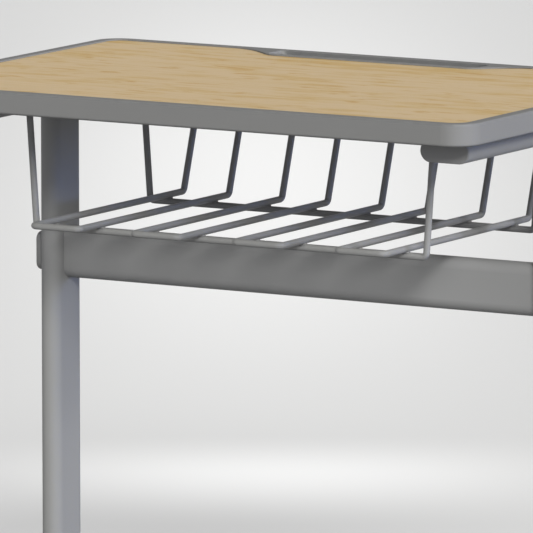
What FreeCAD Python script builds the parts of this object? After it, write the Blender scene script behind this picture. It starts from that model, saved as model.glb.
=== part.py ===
import FreeCAD, Part
import math
import os

import Sketcher

# School desk: a board in a moulded edge with a pen tray, on two column frames of flat-oval tube
# that one cross beam joins, with a wire book basket hung under the board.
# X runs along the desk, Y from the sitter's side to the back, Z up from the floor.
# The origin lies on the floor under the middle of the top. All lengths are in millimetres.

SIZES = (
    ("top_width", 750, "width of the top"),
    ("top_depth", 500, "depth of the top, front to back"),
    ("top_height", 760, "floor to the rim of the top"),
    ("top_thick", 25, "height of the moulded edge"),
    ("top_corner", 32, "plan radius of the corners of the top"),
    ("rim_side", 14, "width of the rim at the front and the sides"),
    ("rim_back", 12, "width of the rim at the back"),
    ("rim_proud", 1.5, "height of the rim above the wood surface"),
    ("rim_round_top", 2.5, "rounding of the outer top edge of the rim"),
    ("rim_round_low", 3, "rounding of the outer bottom edge of the rim"),
    ("rim_round_inner", 0.3, "rounding of the inner top edge of the rim"),
    ("bond_gap", 0.3, "joint between the board and the moulded edge"),
    ("laminate_thick", 1, "thickness of the wood-look sheet"),
    ("backing_thick", 2, "thickness of the balancing sheet, and of the ledge under the board"),
    ("ledge_width", 8, "width of the ledge under the board"),
    ("land_inset", 244, "side of the top to the front corner of the tray land"),
    ("land_depth", 52.5, "depth of the tray land from the back of the top"),
    ("land_slant", 40.3, "angle of the land's ends, in degrees"),
    ("land_round_front", 25, "rounding where the land's ends meet its front"),
    ("land_round_back", 70, "rounding where the land's ends meet the back rim"),
    ("tray_over", 6, "front corner of the tray land to the end of the pen tray"),
    ("tray_lip", 6.5, "land between the wood and the pen tray"),
    ("tray_wall", 14, "wall between the pen tray and the back of the top"),
    ("tray_deep", 8, "depth of the pen tray"),
    ("tray_corner", 5, "radius of the corners of the pen tray"),
    ("tray_end_run", 7, "length of the slope at each end of the pen tray"),
    ("tray_floor_round", 4, "rounding between the tray's floor and its walls"),
    ("tube_width", 60, "wide side of the flat-oval tube"),
    ("tube_thick", 25, "narrow side of the flat-oval tube"),
    ("tube_wall", 1.5, "wall of the tube"),
    ("frame_inset", 55, "side of the top to the middle of the side frame under it"),
    ("arm_inset_front", 50, "front of the top to the arms' front ends, caps included"),
    ("arm_inset_rear", 50, "back of the top to the arms' rear ends, caps included"),
    ("column_inset", 200, "back of the top to the middle of the columns"),
    ("beam_drop", 221, "rim of the top to the middle of the cross beam"),
    ("foot_inset_front", 30, "front of the top to the feet's front ends, caps included"),
    ("foot_inset_rear", 20, "back of the top to the feet's rear ends, caps included"),
    ("cap_plate", 3, "thickness of the end caps outside the tube"),
    ("cap_tongue", 15, "length of the end caps inside the tube"),
    ("cap_play", 1, "play between the tongue and the tube's round sides"),
    ("cap_bevel", 0.8, "bevel round the end caps"),
    ("bolt_pitch", 24, "distance between the two bolts at each end of the beam"),
    ("bolt_radius", 4, "radius of the beam bolts"),
    ("bolt_head_radius", 7, "radius of the beam bolts' heads"),
    ("bolt_head_high", 5, "height of the beam bolts' heads"),
    ("bolt_reach", 18, "length of the bolts inside the beam"),
    ("bolt_play", 0.3, "radial play of the bolts in their holes"),
    ("plug_long", 25, "length of the threaded plugs in the beam"),
    ("cover_width", 36, "width of the bolt covers"),
    ("cover_high", 44, "height of the bolt covers"),
    ("cover_thick", 10, "thickness of the bolt covers"),
    ("cover_wall", 2, "wall of the bolt covers"),
    ("cover_corner", 9, "corner radius of the bolt covers"),
    ("cover_round", 3, "rounding of the outer edge of the bolt covers"),
    ("glide_inset", 38, "end of the foot to the middle of the glide"),
    ("glide_radius", 18, "radius of the glide's pad"),
    ("glide_high", 8, "height of the glide's pad"),
    ("glide_round", 2, "rounding of the glide's pad"),
    ("collar_radius", 8, "radius of the collar on the glide"),
    ("collar_high", 3, "height of the collar on the glide"),
    ("stud_radius", 4, "radius of the glide's stud"),
    ("stud_reach", 19, "length of the stud above the underside of the foot"),
    ("thread_play", 0.3, "radial play between the stud and its insert"),
    ("insert_radius", 5.5, "outer radius of the threaded insert"),
    ("insert_high", 14, "length of the threaded insert inside the foot"),
    ("insert_flange", 9, "radius of the insert's flange"),
    ("insert_flange_thick", 1.5, "thickness of the insert's flange"),
    ("insert_play", 0.3, "radial play of the insert in the foot"),
    ("glide_park", 0.5, "gap over the collar with the glide screwed right in"),
    ("screw_radius", 2.2, "radius of the wood screws"),
    ("screw_head_radius", 4.4, "radius of the wood screws' heads"),
    ("screw_head_high", 3, "height of the wood screws' heads"),
    ("screw_bite", 15, "length of the wood screws above the underside of the board"),
    ("screw_play", 0.3, "radial play of the wood screws in their holes"),
    ("driver_radius", 5.5, "radius of the access holes for the driver"),
    ("arm_screw_inset", 50, "ends of the arms to their screws"),
    ("wire_radius", 3.8, "radius of the basket wire"),
    ("bend_radius", 6, "bend radius of the basket wire"),
    ("tip_bend", 15, "bend radius where the wires turn upright under the top"),
    ("tip_length", 12, "length of the upright tips"),
    ("loop_width", 60, "distance between the two rods of a loop"),
    ("basket_inset", 86.5, "front of the top to the front of the basket"),
    ("basket_drop", 160.4, "rim of the top to the floor rods"),
    ("basket_lean", 18, "lean of the back uprights, in degrees"),
    ("cross_front", 49.5, "front of the basket to the front cross wire"),
    ("cross_rear", 32.5, "back bend of the basket to the rear cross wire"),
    ("cross_over", 25, "outer rods to the bends of the cross wires"),
    ("cross_lean", 4, "lean of the cross wires' ends, in degrees"),
    ("weld_gap", 0.3, "gap between crossing wires, filled by the weld"),
    ("rail_width", 30, "width of the rail that carries the back uprights"),
    ("rail_inset", 45.4, "back of the top to the middle of the rail"),
    ("rail_over", 12, "bends of the cross wires to the ends of the rail"),
    ("rail_screw_end", 14, "end of the rail to its outer screws"),
    ("rail_screw_land", 61, "front corner of the tray land to the inner rail screws"),
    ("plate_thick", 3, "thickness of the rail and of the hanger plates"),
    ("hanger_gap", 22, "gap between the arms and the hanger plates"),
    ("hanger_long", 38, "length of the hanger plates"),
    ("hanger_wide", 24, "width of the hanger plates"),
    ("hanger_end", 9, "ends of a hanger plate to its wire and to its screw"),
    ("hanger_corner", 5, "corner radius of the rail and of the hanger plates"),
)

doc = FreeCAD.newDocument("desk")
sheet = doc.addObject("Spreadsheet::Sheet", "sizes")
for row, (alias, number, note) in enumerate(SIZES, start=1):
    sheet.set("A%d" % row, note)
    sheet.set("B%d" % row, str(number))
    sheet.setAlias("B%d" % row, alias)
doc.recompute()


class Dim:
    """A length that carries its spreadsheet expression and its number."""

    def __init__(self, text, value):
        self.text = text
        self.value = value

    @staticmethod
    def of(other):
        if isinstance(other, Dim):
            return other
        return Dim(repr(float(other)), float(other))

    def __add__(self, other):
        other = Dim.of(other)
        return Dim("(%s + %s)" % (self.text, other.text), self.value + other.value)

    def __sub__(self, other):
        other = Dim.of(other)
        return Dim("(%s - %s)" % (self.text, other.text), self.value - other.value)

    def __mul__(self, other):
        other = Dim.of(other)
        return Dim("(%s * %s)" % (self.text, other.text), self.value * other.value)

    def __truediv__(self, other):
        other = Dim.of(other)
        return Dim("(%s / %s)" % (self.text, other.text), self.value / other.value)

    def __neg__(self):
        return Dim("(0 - %s)" % self.text, -self.value)


def size(alias):
    return Dim("sizes.%s" % alias, float(sheet.get(alias)))


def tangent(angle):
    return Dim("tan(%s * 1 deg)" % angle.text, math.tan(math.radians(angle.value)))


def bind(obj, path, dim):
    obj.setExpression(path, Dim.of(dim).text)


nodes = []


def keep(obj, label):
    """Give the finished piece its name and list it for export."""
    obj.Label = label
    nodes.append(obj)
    return obj


def new_body(name):
    return doc.addObject("PartDesign::Body", name)


def place(obj, x, y, z, turn=None):
    """Put a piece at x, y, z, turned by the rotation."""
    spot = [Dim.of(x), Dim.of(y), Dim.of(z)]
    base = FreeCAD.Vector(spot[0].value, spot[1].value, spot[2].value)
    obj.Placement = FreeCAD.Placement(base, turn or FreeCAD.Rotation())
    for letter, dim in zip("xyz", spot):
        bind(obj, "Placement.Base.%s" % letter, dim)


def new_sketch(body, role, lift=None):
    """A sketch on one of the body's origin planes, lifted along the plane's normal."""
    sketch = body.newObject("Sketcher::SketchObject", body.Name + "_sketch")
    plane = [item for item in body.Origin.OriginFeatures if item.Role == role][0]
    sketch.AttachmentSupport = [(plane, "")]
    sketch.MapMode = "FlatFace"
    if lift is not None:
        bind(sketch, "AttachmentOffset.Base.z", lift)
    return sketch


def fix_point(sketch, geo, point, x, y):
    """Tie a point of the sketch to its distances from the origin."""
    for kind, axis, dim in (("DistanceX", -2, Dim.of(x)), ("DistanceY", -1, Dim.of(y))):
        if abs(dim.value) < 1e-9:
            sketch.addConstraint(Sketcher.Constraint("PointOnObject", geo, point, axis))
        elif dim.value > 0:
            index = sketch.addConstraint(Sketcher.Constraint(kind, -1, 1, geo, point, dim.value))
            sketch.setExpression("Constraints[%d]" % index, dim.text)
        else:
            index = sketch.addConstraint(Sketcher.Constraint(kind, geo, point, -1, 1, -dim.value))
            sketch.setExpression("Constraints[%d]" % index, (-dim).text)


def add_polygon(sketch, points):
    """A closed outline of straight lines, with every corner tied to its distances."""
    spots = [FreeCAD.Vector(Dim.of(x).value, Dim.of(y).value, 0) for x, y in points]
    count = len(spots)
    lines = [sketch.addGeometry(Part.LineSegment(spots[i], spots[(i + 1) % count])) for i in range(count)]
    for i in range(count):
        sketch.addConstraint(Sketcher.Constraint("Coincident", lines[i], 2, lines[(i + 1) % count], 1))
    for i, (x, y) in enumerate(points):
        fix_point(sketch, lines[i], 1, x, y)


def add_rectangle(sketch, left, right, low, high):
    add_polygon(sketch, ((left, low), (right, low), (right, high), (left, high)))


def add_circle(sketch, x, y, radius):
    spot = FreeCAD.Vector(Dim.of(x).value, Dim.of(y).value, 0)
    geo = sketch.addGeometry(Part.Circle(spot, FreeCAD.Vector(0, 0, 1), Dim.of(radius).value))
    fix_point(sketch, geo, 3, x, y)
    index = sketch.addConstraint(Sketcher.Constraint("Radius", geo, Dim.of(radius).value))
    sketch.setExpression("Constraints[%d]" % index, Dim.of(radius).text)


def add_oval(sketch, wide, thick):
    """A flat oval: two straight sides and two half-round ends, centred on the sketch's origin."""
    half = (wide - thick) / 2
    radius = thick / 2
    up = FreeCAD.Vector(0, 0, 1)
    right = FreeCAD.Vector(half.value, 0, 0)
    left = FreeCAD.Vector(-half.value, 0, 0)
    rise = FreeCAD.Vector(0, radius.value, 0)
    quarter = math.pi / 2
    end_right = sketch.addGeometry(Part.ArcOfCircle(Part.Circle(right, up, radius.value), -quarter, quarter))
    top = sketch.addGeometry(Part.LineSegment(right + rise, left + rise))
    end_left = sketch.addGeometry(Part.ArcOfCircle(Part.Circle(left, up, radius.value), quarter, 3 * quarter))
    low = sketch.addGeometry(Part.LineSegment(left - rise, right - rise))
    ring = ((end_right, top), (top, end_left), (end_left, low), (low, end_right))
    for first, second in ring:
        sketch.addConstraint(Sketcher.Constraint("Tangent", first, 2, second, 1))
    fix_point(sketch, end_right, 3, half, 0)
    fix_point(sketch, end_left, 3, -half, 0)
    index = sketch.addConstraint(Sketcher.Constraint("Radius", end_right, radius.value))
    sketch.setExpression("Constraints[%d]" % index, radius.text)


def add_rounded(sketch, half_x, half_y, radius):
    """A rectangle with round corners, centred on the sketch's origin."""
    up = FreeCAD.Vector(0, 0, 1)
    quarter = math.pi / 2
    arcs = []
    for turn, (x, y) in enumerate(((1, 1), (-1, 1), (-1, -1), (1, -1))):
        middle = ((half_x - radius) * x, (half_y - radius) * y)
        circle = Part.Circle(FreeCAD.Vector(middle[0].value, middle[1].value, 0), up, radius.value)
        arc = sketch.addGeometry(Part.ArcOfCircle(circle, turn * quarter, (turn + 1) * quarter))
        fix_point(sketch, arc, 3, *middle)
        arcs.append(arc)
    index = sketch.addConstraint(Sketcher.Constraint("Radius", arcs[0], radius.value))
    sketch.setExpression("Constraints[%d]" % index, radius.text)
    for arc, following in zip(arcs, arcs[1:] + arcs[:1]):
        start = sketch.getPoint(arc, 2)
        line = sketch.addGeometry(Part.LineSegment(start, sketch.getPoint(following, 1)))
        sketch.addConstraint(Sketcher.Constraint("Tangent", arc, 2, line, 1))
        sketch.addConstraint(Sketcher.Constraint("Tangent", line, 2, following, 1))
    for arc in arcs[1:]:
        sketch.addConstraint(Sketcher.Constraint("Equal", arcs[0], arc))


def pad(body, sketch, length, back=False):
    feature = body.newObject("PartDesign::Pad", body.Name + "_pad")
    feature.Profile = sketch
    feature.Reversed = back
    bind(feature, "Length", length)
    doc.recompute()
    return feature


def pocket(body, sketch, length, back=False):
    """Cut the profile away over the length, and make sure that it cut something."""
    before = body.Shape.Volume
    feature = body.newObject("PartDesign::Pocket", body.Name + "_pocket")
    feature.Profile = sketch
    feature.Reversed = back
    bind(feature, "Length", length)
    doc.recompute()
    if body.Shape.Volume > before - 1e-6:
        raise RuntimeError("the pocket of %s cuts nothing" % body.Name)
    return feature


def revolve(body, sketch):
    """Turn the profile once round the sketch's upright axis."""
    feature = body.newObject("PartDesign::Revolution", body.Name + "_turned")
    feature.Profile = sketch
    feature.ReferenceAxis = (sketch, ["V_Axis"])
    feature.Angle = 360
    doc.recompute()
    return feature


def fillet(body, radius, wanted):
    """Round the edges of the body that the test picks."""
    base = body.Tip
    names = ["Edge%d" % (i + 1) for i, edge in enumerate(base.Shape.Edges) if wanted(edge)]
    if not names:
        raise RuntimeError("no edge to round on %s" % body.Name)
    feature = body.newObject("PartDesign::Fillet", body.Name + "_round")
    feature.Base = (base, names)
    bind(feature, "Radius", radius)
    doc.recompute()
    return feature


def bevel(body, width, wanted):
    """Bevel the edges of the body that the test picks."""
    base = body.Tip
    names = ["Edge%d" % (i + 1) for i, edge in enumerate(base.Shape.Edges) if wanted(edge)]
    if not names:
        raise RuntimeError("no edge to bevel on %s" % body.Name)
    feature = body.newObject("PartDesign::Chamfer", body.Name + "_bevel")
    feature.Base = (base, names)
    bind(feature, "Size", width)
    doc.recompute()
    return feature


def upright(edge):
    box = edge.BoundBox
    return box.XLength < 1e-6 and box.YLength < 1e-6 and box.ZLength > 1e-6


def level(edge, z):
    box = edge.BoundBox
    return abs(box.ZMin - z) < 1e-6 and abs(box.ZMax - z) < 1e-6


def upright_at(spots):
    """A test for upright edges that stand over one of the given plan points."""
    def wanted(edge):
        middle = edge.BoundBox.Center
        near = [abs(middle.x - x.value) < 1e-4 and abs(middle.y - y.value) < 1e-4 for x, y in spots]
        return upright(edge) and any(near)
    return wanted


# Levels and places that several pieces share.
half_width = size("top_width") / 2
half_depth = size("top_depth") / 2
rim_level = size("top_height")
under_level = rim_level - size("top_thick")
wood_level = rim_level - size("rim_proud")
frame_x = half_width - size("frame_inset")
tube_wide = size("tube_width")
tube_thick = size("tube_thick")
tube_wall = size("tube_wall")
arm_low = under_level - tube_thick
beam_level = rim_level - size("beam_drop")
foot_low = (size("glide_high") + size("collar_high")
            + size("glide_park") + size("insert_flange_thick"))
foot_top = foot_low + tube_thick
plate_low = under_level - size("plate_thick")
rod_level = rim_level - size("basket_drop")
cross_level = rod_level - size("wire_radius") * 2 - size("weld_gap")
tip_level = plate_low - size("tip_length")
column_y = half_depth - size("column_inset")
arm_reach = {"front": half_depth - size("arm_inset_front"), "rear": half_depth - size("arm_inset_rear")}
foot_reach = {"front": half_depth - size("foot_inset_front"), "rear": half_depth - size("foot_inset_rear")}
rail_y = half_depth - size("rail_inset")
back_y = rail_y - (tip_level - rod_level) * tangent(size("basket_lean"))
front_y = size("basket_inset") - half_depth
cross_y = {"front": front_y + size("cross_front"), "rear": back_y - size("cross_rear")}
hanger_x = frame_x - tube_wide / 2 - size("hanger_gap") - size("hanger_end")
hanger_middle = hanger_x + size("hanger_end") - size("hanger_long") / 2
cross_half = hanger_x - (tip_level - cross_level) * tangent(size("cross_lean"))
rail_half = cross_half + size("rail_over")
sides = (("left", -1), ("right", 1))
ends = (("front", -1), ("rear", 1))
land_half = half_width - size("land_inset")
rail_outer = rail_half - size("rail_screw_end")
rail_inner = land_half + size("rail_screw_land")
rail_screws = [(spot * side, rail_y) for name, side in sides for spot in (rail_outer, rail_inner)]
hanger_screws = [((hanger_middle * 2 - hanger_x) * side, cross_y[end]) for end, way in ends for name, side in sides]
arm_screws = [(frame_x * side, (arm_reach[end] - size("arm_screw_inset")) * way)
              for name, side in sides for end, way in ends]
board_screws = arm_screws + rail_screws + hanger_screws


# The outline of the wood, and of every piece that follows it at an inward offset.
def wood_corners(inset):
    """The eight corners of the wood's outline, anticlockwise from the front left."""
    side = half_width - size("rim_side") - inset
    front = half_depth - size("rim_side") - inset
    back = half_depth - size("rim_back") - inset
    land_front = half_depth - size("land_depth") - inset
    run = (size("land_depth") - size("rim_back")) / tangent(size("land_slant"))
    near = land_half + inset * tangent(size("land_slant") / 2)
    far = near + run
    return ((-side, -front), (side, -front), (side, back), (far, back),
            (near, land_front), (-near, land_front), (-far, back), (-side, back))


def round_wood_corners(body, corners, inset):
    """Round the outline's outer corners and the two ends of the tray land."""
    fillet(body, size("top_corner") - size("rim_side") - inset,
           upright_at([corners[0], corners[1], corners[2], corners[7]]))
    fillet(body, size("land_round_front") + inset, upright_at([corners[4], corners[5]]))
    fillet(body, size("land_round_back") - inset, upright_at([corners[3], corners[6]]))


def board_layer(label, inset, low, thick, drilled):
    """One layer of the board, drilled from below for the wood screws."""
    body = new_body(label)
    corners = wood_corners(inset)
    sketch = new_sketch(body, "XY_Plane")
    add_polygon(sketch, corners)
    pad(body, sketch, thick)
    round_wood_corners(body, corners, inset)
    if drilled is not None:
        holes = new_sketch(body, "XY_Plane")
        for x, y in board_screws:
            add_circle(holes, x, y, size("screw_radius") + size("screw_play"))
        pocket(body, holes, drilled, back=True)
    place(body, 0, 0, low)
    return keep(body, label)


core_low = under_level + size("backing_thick")
core_top = wood_level - size("laminate_thick")
hole_deep = size("screw_bite") + size("screw_play") - size("backing_thick")
board_layer("top_backing", size("ledge_width") + size("bond_gap"), under_level,
            size("backing_thick"), size("backing_thick"))
board_layer("top_core", size("bond_gap"), core_low, core_top - core_low, hole_deep)
board_layer("top_laminate", size("bond_gap"), core_top, size("laminate_thick"), None)


def moulded_edge():
    """The grey edge: a frame round the board with a ledge under it and the pen tray at the back."""
    body = new_body("top_edge")
    block = new_sketch(body, "XY_Plane")
    add_rectangle(block, -half_width, half_width, -half_depth, half_depth)
    pad(body, block, size("top_thick"))
    fillet(body, size("top_corner"), upright)
    top = size("top_thick")
    fillet(body, size("rim_round_top"), lambda edge: level(edge, top.value))
    fillet(body, size("rim_round_low"), lambda edge: level(edge, 0))

    corners = wood_corners(Dim.of(0))
    opening = new_sketch(body, "XY_Plane", top)
    add_polygon(opening, corners)
    pocket(body, opening, top - size("backing_thick"))
    round_wood_corners(body, corners, Dim.of(0))
    ledge_corners = wood_corners(size("ledge_width"))
    hole = new_sketch(body, "XY_Plane")
    add_polygon(hole, ledge_corners)
    pocket(body, hole, size("backing_thick"), back=True)
    round_wood_corners(body, ledge_corners, size("ledge_width"))

    # The tray is cut along Y, so that its profile can have sloped ends.
    front = half_depth - size("land_depth") + size("tray_lip")
    back = half_depth - size("tray_wall")
    half = land_half + size("tray_over")
    floor_half = half - size("tray_end_run")
    floor_level = top - size("tray_deep")
    tray = new_sketch(body, "XZ_Plane", -front)
    add_polygon(tray, ((-half, top), (-floor_half, floor_level), (floor_half, floor_level), (half, top)))
    pocket(body, tray, back - front)

    def tray_corner(edge):
        box = edge.BoundBox
        return abs(box.ZMin - floor_level.value) < 1e-3 and abs(box.ZMax - top.value) < 1e-3

    fillet(body, size("tray_corner"), tray_corner)
    fillet(body, size("tray_floor_round"), lambda edge: level(edge, floor_level.value))

    inner_edge = half_width - size("rim_round_top")

    def inner_rim(edge):
        box = edge.BoundBox
        outer = box.XMax > inner_edge.value - 1e-3 or box.XMin < -inner_edge.value + 1e-3
        outer = outer or box.YMax > half_depth.value - size("rim_round_top").value - 1e-3
        outer = outer or box.YMin < -half_depth.value + size("rim_round_top").value + 1e-3
        return level(edge, top.value) and not outer

    fillet(body, size("rim_round_inner"), inner_rim)
    place(body, 0, 0, under_level)
    return keep(body, "top_edge")


moulded_edge()

# Turns that carry a profile drawn in the XY plane and padded upwards.
ALONG_Y = FreeCAD.Rotation(FreeCAD.Vector(1, 0, 0), -90)
ALONG_X = FreeCAD.Rotation(FreeCAD.Vector(0, 1, 0), 90)
WIDE_ON_Y = FreeCAD.Rotation(FreeCAD.Vector(0, 0, 1), 90)


def tube(label, length):
    """A length of the flat-oval tube, standing on the XY plane with its wide side along X."""
    body = new_body(label)
    sketch = new_sketch(body, "XY_Plane")
    add_oval(sketch, tube_wide, tube_thick)
    add_oval(sketch, tube_wide - tube_wall * 2, tube_thick - tube_wall * 2)
    pad(body, sketch, length)
    return body


def drill_flat(body, spots, radius, positive):
    """Drill one flat wall of the tube, on the side of +Y or of -Y, at the heights given."""
    sketch = new_sketch(body, "XZ_Plane")
    for z in spots:
        add_circle(sketch, 0, z, radius)
    pocket(body, sketch, tube_thick, back=not positive)


def end_cap(label, x, y, z, turn):
    """A cap over a tube's end: a bevelled oval plate and a tongue that fills the flats."""
    body = new_body(label)
    plate = new_sketch(body, "XY_Plane")
    add_oval(plate, tube_wide, tube_thick)
    pad(body, plate, size("cap_plate"))
    bevel(body, size("cap_bevel"), lambda edge: level(edge, size("cap_plate").value))
    tongue = new_sketch(body, "XY_Plane")
    wide = (tube_wide - tube_thick) / 2 - size("cap_play")
    high = tube_thick / 2 - tube_wall
    add_rectangle(tongue, -wide, wide, -high, high)
    pad(body, tongue, size("cap_tongue"), back=True)
    place(body, x, y, z, turn)
    return keep(body, label)


FACING = {
    "front": FreeCAD.Rotation(FreeCAD.Vector(1, 0, 0), 90),
    "rear": ALONG_Y,
}

# The side frames: arm, column and foot, with caps in every open end.
column_long = arm_low - foot_top
beam_half = frame_x - tube_thick / 2
plate = size("cap_plate")
for name, side in sides:
    x = frame_x * side
    arm_start = arm_reach["front"] - plate
    arm = tube("arm_" + name, arm_start + arm_reach["rear"] - plate)
    screw_spots = [size("arm_screw_inset") - plate,
                   arm_reach["front"] + arm_reach["rear"] - size("arm_screw_inset") - plate]
    drill_flat(arm, screw_spots, size("screw_radius") + size("screw_play"), positive=False)
    drill_flat(arm, screw_spots, size("driver_radius"), positive=True)
    place(arm, x, -arm_start, under_level - tube_thick / 2, ALONG_Y)
    keep(arm, "arm_" + name)

    foot_start = foot_reach["front"] - plate
    foot = tube("foot_" + name, foot_start + foot_reach["rear"] - plate)
    glide_spots = [size("glide_inset") - plate,
                   foot_reach["front"] + foot_reach["rear"] - size("glide_inset") - plate]
    drill_flat(foot, glide_spots, size("insert_radius") + size("insert_play"), positive=True)
    place(foot, x, -foot_start, foot_low + tube_thick / 2, ALONG_Y)
    keep(foot, "foot_" + name)

    column = tube("column_" + name, column_long)
    bolt_spots = [beam_level - foot_top + size("bolt_pitch") / 2 * step for step in (-1, 1)]
    for positive in (True, False):
        drill_flat(column, bolt_spots, size("bolt_radius") + size("bolt_play"), positive)
    place(column, x, column_y, foot_top, WIDE_ON_Y)
    keep(column, "column_" + name)

    for end, way in ends:
        arm_end = (arm_reach[end] - plate) * way
        foot_end = (foot_reach[end] - plate) * way
        end_cap("arm_cap_%s_%s" % (end, name), x, arm_end, under_level - tube_thick / 2, FACING[end])
        end_cap("foot_cap_%s_%s" % (end, name), x, foot_end, foot_low + tube_thick / 2, FACING[end])

beam = tube("beam", beam_half * 2)
place(beam, -beam_half, column_y, beam_level, ALONG_X)
keep(beam, "beam")


def beam_plug(label, x):
    """A threaded block that fills the flats of the beam's end and takes the two bolts."""
    body = new_body(label)
    block = new_sketch(body, "XY_Plane")
    high = (tube_wide - tube_thick) / 2
    thick = tube_thick / 2 - tube_wall
    add_rectangle(block, -high, high, -thick, thick)
    pad(body, block, size("plug_long"))
    holes = new_sketch(body, "XY_Plane")
    for step in (-1, 1):
        add_circle(holes, size("bolt_pitch") / 2 * step, 0, size("bolt_radius") + size("bolt_play"))
    pocket(body, holes, size("plug_long"), back=True)
    place(body, x, column_y, beam_level, ALONG_X)
    return keep(body, label)


beam_plug("beam_plug_left", -beam_half)
beam_plug("beam_plug_right", beam_half - size("plug_long"))


def headed_pin(name, radius, long, head_radius, head_high):
    """A turned fastener on the Z axis: head below the XY plane, shank above it."""
    body = new_body(name)
    sketch = new_sketch(body, "XZ_Plane")
    add_polygon(sketch, ((0, -head_high), (head_radius, -head_high), (head_radius, 0),
                         (radius, 0), (radius, long), (0, long)))
    revolve(body, sketch)
    return body


def copies(label, master, spots):
    """Copies of one fastener or insert, kept together as one node."""
    links = []
    for number, (x, y, z, turn) in enumerate(spots, start=1):
        link = doc.addObject("App::Link", "%s_%d" % (label, number))
        link.LinkedObject = master
        place(link, x, y, z, turn)
        links.append(link)
    group = doc.addObject("Part::Compound", label)
    group.Links = links
    doc.recompute()
    return keep(group, label)


INWARD = {-1: ALONG_X, 1: FreeCAD.Rotation(FreeCAD.Vector(0, 1, 0), -90)}
column_face = frame_x + tube_thick / 2
bolt = headed_pin("bolt", size("bolt_radius"), tube_thick + size("bolt_reach"),
                  size("bolt_head_radius"), size("bolt_head_high"))
copies("beam_bolts", bolt,
       [(column_face * side, column_y, beam_level + size("bolt_pitch") / 2 * step, INWARD[side])
        for name, side in sides for step in (-1, 1)])

arm_screw = headed_pin("arm_screw", size("screw_radius"), tube_wall + size("screw_bite"),
                       size("screw_head_radius"), size("screw_head_high"))
copies("top_screws", arm_screw, [(x, y, under_level - tube_wall, None) for x, y in arm_screws])
plate_screw = headed_pin("plate_screw", size("screw_radius"), size("plate_thick") + size("screw_bite"),
                         size("screw_head_radius"), size("screw_head_high"))
copies("basket_screws", plate_screw, [(x, y, plate_low, None) for x, y in rail_screws + hanger_screws])


def bolt_cover(label, side):
    """A rounded cap over the bolt heads, hollow towards the column."""
    body = new_body(label)
    half_wide = size("cover_width") / 2
    half_high = size("cover_high") / 2
    block = new_sketch(body, "XY_Plane")
    add_rounded(block, half_high, half_wide, size("cover_corner"))
    pad(body, block, size("cover_thick"))
    fillet(body, size("cover_round"), lambda edge: level(edge, size("cover_thick").value))
    wall = size("cover_wall")
    hollow = new_sketch(body, "XY_Plane")
    add_rounded(hollow, half_high - wall, half_wide - wall, size("cover_corner") - wall)
    pocket(body, hollow, size("cover_thick") - wall, back=True)
    place(body, column_face * side, column_y, beam_level, INWARD[-side])
    return keep(body, label)


for name, side in sides:
    bolt_cover("bolt_cover_" + name, side)


# Threaded inserts in the feet, and the glides that screw into them.
def insert_master():
    """A flanged threaded insert, its flange just under the XY plane."""
    body = new_body("insert")
    sketch = new_sketch(body, "XZ_Plane")
    bore = size("stud_radius") + size("thread_play")
    flange = -size("insert_flange_thick")
    add_polygon(sketch, ((bore, flange), (size("insert_flange"), flange), (size("insert_flange"), 0),
                         (size("insert_radius"), 0), (size("insert_radius"), size("insert_high")),
                         (bore, size("insert_high"))))
    revolve(body, sketch)
    return body


def glide(label, x, y):
    """A levelling glide: a round pad, a collar to turn it by and a stud, turned in one profile."""
    body = new_body(label)
    sketch = new_sketch(body, "XZ_Plane")
    pad_radius = size("glide_radius")
    pad_high = size("glide_high")
    collar_high = pad_high + size("collar_high")
    stud_top = foot_low + size("stud_reach")
    shoulder = pad_radius - size("glide_round") * 2
    add_polygon(sketch, ((0, 0), (pad_radius - size("glide_round"), 0), (pad_radius, size("glide_round")),
                         (pad_radius, pad_high / 2), (shoulder, pad_high),
                         (size("collar_radius"), pad_high), (size("collar_radius"), collar_high),
                         (size("stud_radius"), collar_high), (size("stud_radius"), stud_top), (0, stud_top)))
    revolve(body, sketch)
    place(body, x, y, 0)
    return keep(body, label)


glide_y = {end: (foot_reach[end] - size("glide_inset")) * way for end, way in ends}
copies("glide_nuts", insert_master(),
       [(frame_x * side, glide_y[end], foot_low, None) for name, side in sides for end, way in ends])
for name, side in sides:
    for end, way in ends:
        glide("glide_%s_%s" % (end, name), frame_x * side, glide_y[end])


# The basket: bent wires swept along lines joined by round bends.
def bent_path(name, points, radii):
    """A wire through the points, with each inner point replaced by a round bend."""
    spots = [FreeCAD.Vector(*[Dim.of(part).value for part in point]) for point in points]
    edges = []
    start = spots[0]
    for before, corner, after, radius in zip(spots, spots[1:], spots[2:], radii):
        into = (corner - before).normalize()
        out = (after - corner).normalize()
        turn = into.getAngle(out)
        cut = radius.value * math.tan(turn / 2)
        first = corner - into * cut
        last = corner + out * cut
        inward = (out - into).normalize()
        middle = corner + inward * (radius.value / math.cos(turn / 2) - radius.value)
        edges.append(Part.LineSegment(start, first).toShape())
        edges.append(Part.Arc(first, middle, last).toShape())
        start = last
    edges.append(Part.LineSegment(start, spots[-1]).toShape())
    path = doc.addObject("Part::Feature", name)
    path.Shape = Part.Wire(edges)
    return path


def bent_wire(label, points, radii):
    """Round wire swept along the bent path. Its ends stand upright under the plates."""
    path = bent_path(label + "_path", points, radii)
    ring = doc.addObject("Part::Circle", label + "_section")
    bind(ring, "Radius", size("wire_radius"))
    place(ring, *points[0])
    sweep = doc.addObject("Part::Sweep", label)
    sweep.Sections = [ring]
    sweep.Spine = (path, ["Edge%d" % (i + 1) for i in range(len(path.Shape.Edges))])
    sweep.Solid = True
    sweep.Frenet = False
    doc.recompute()
    return keep(sweep, label)


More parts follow.
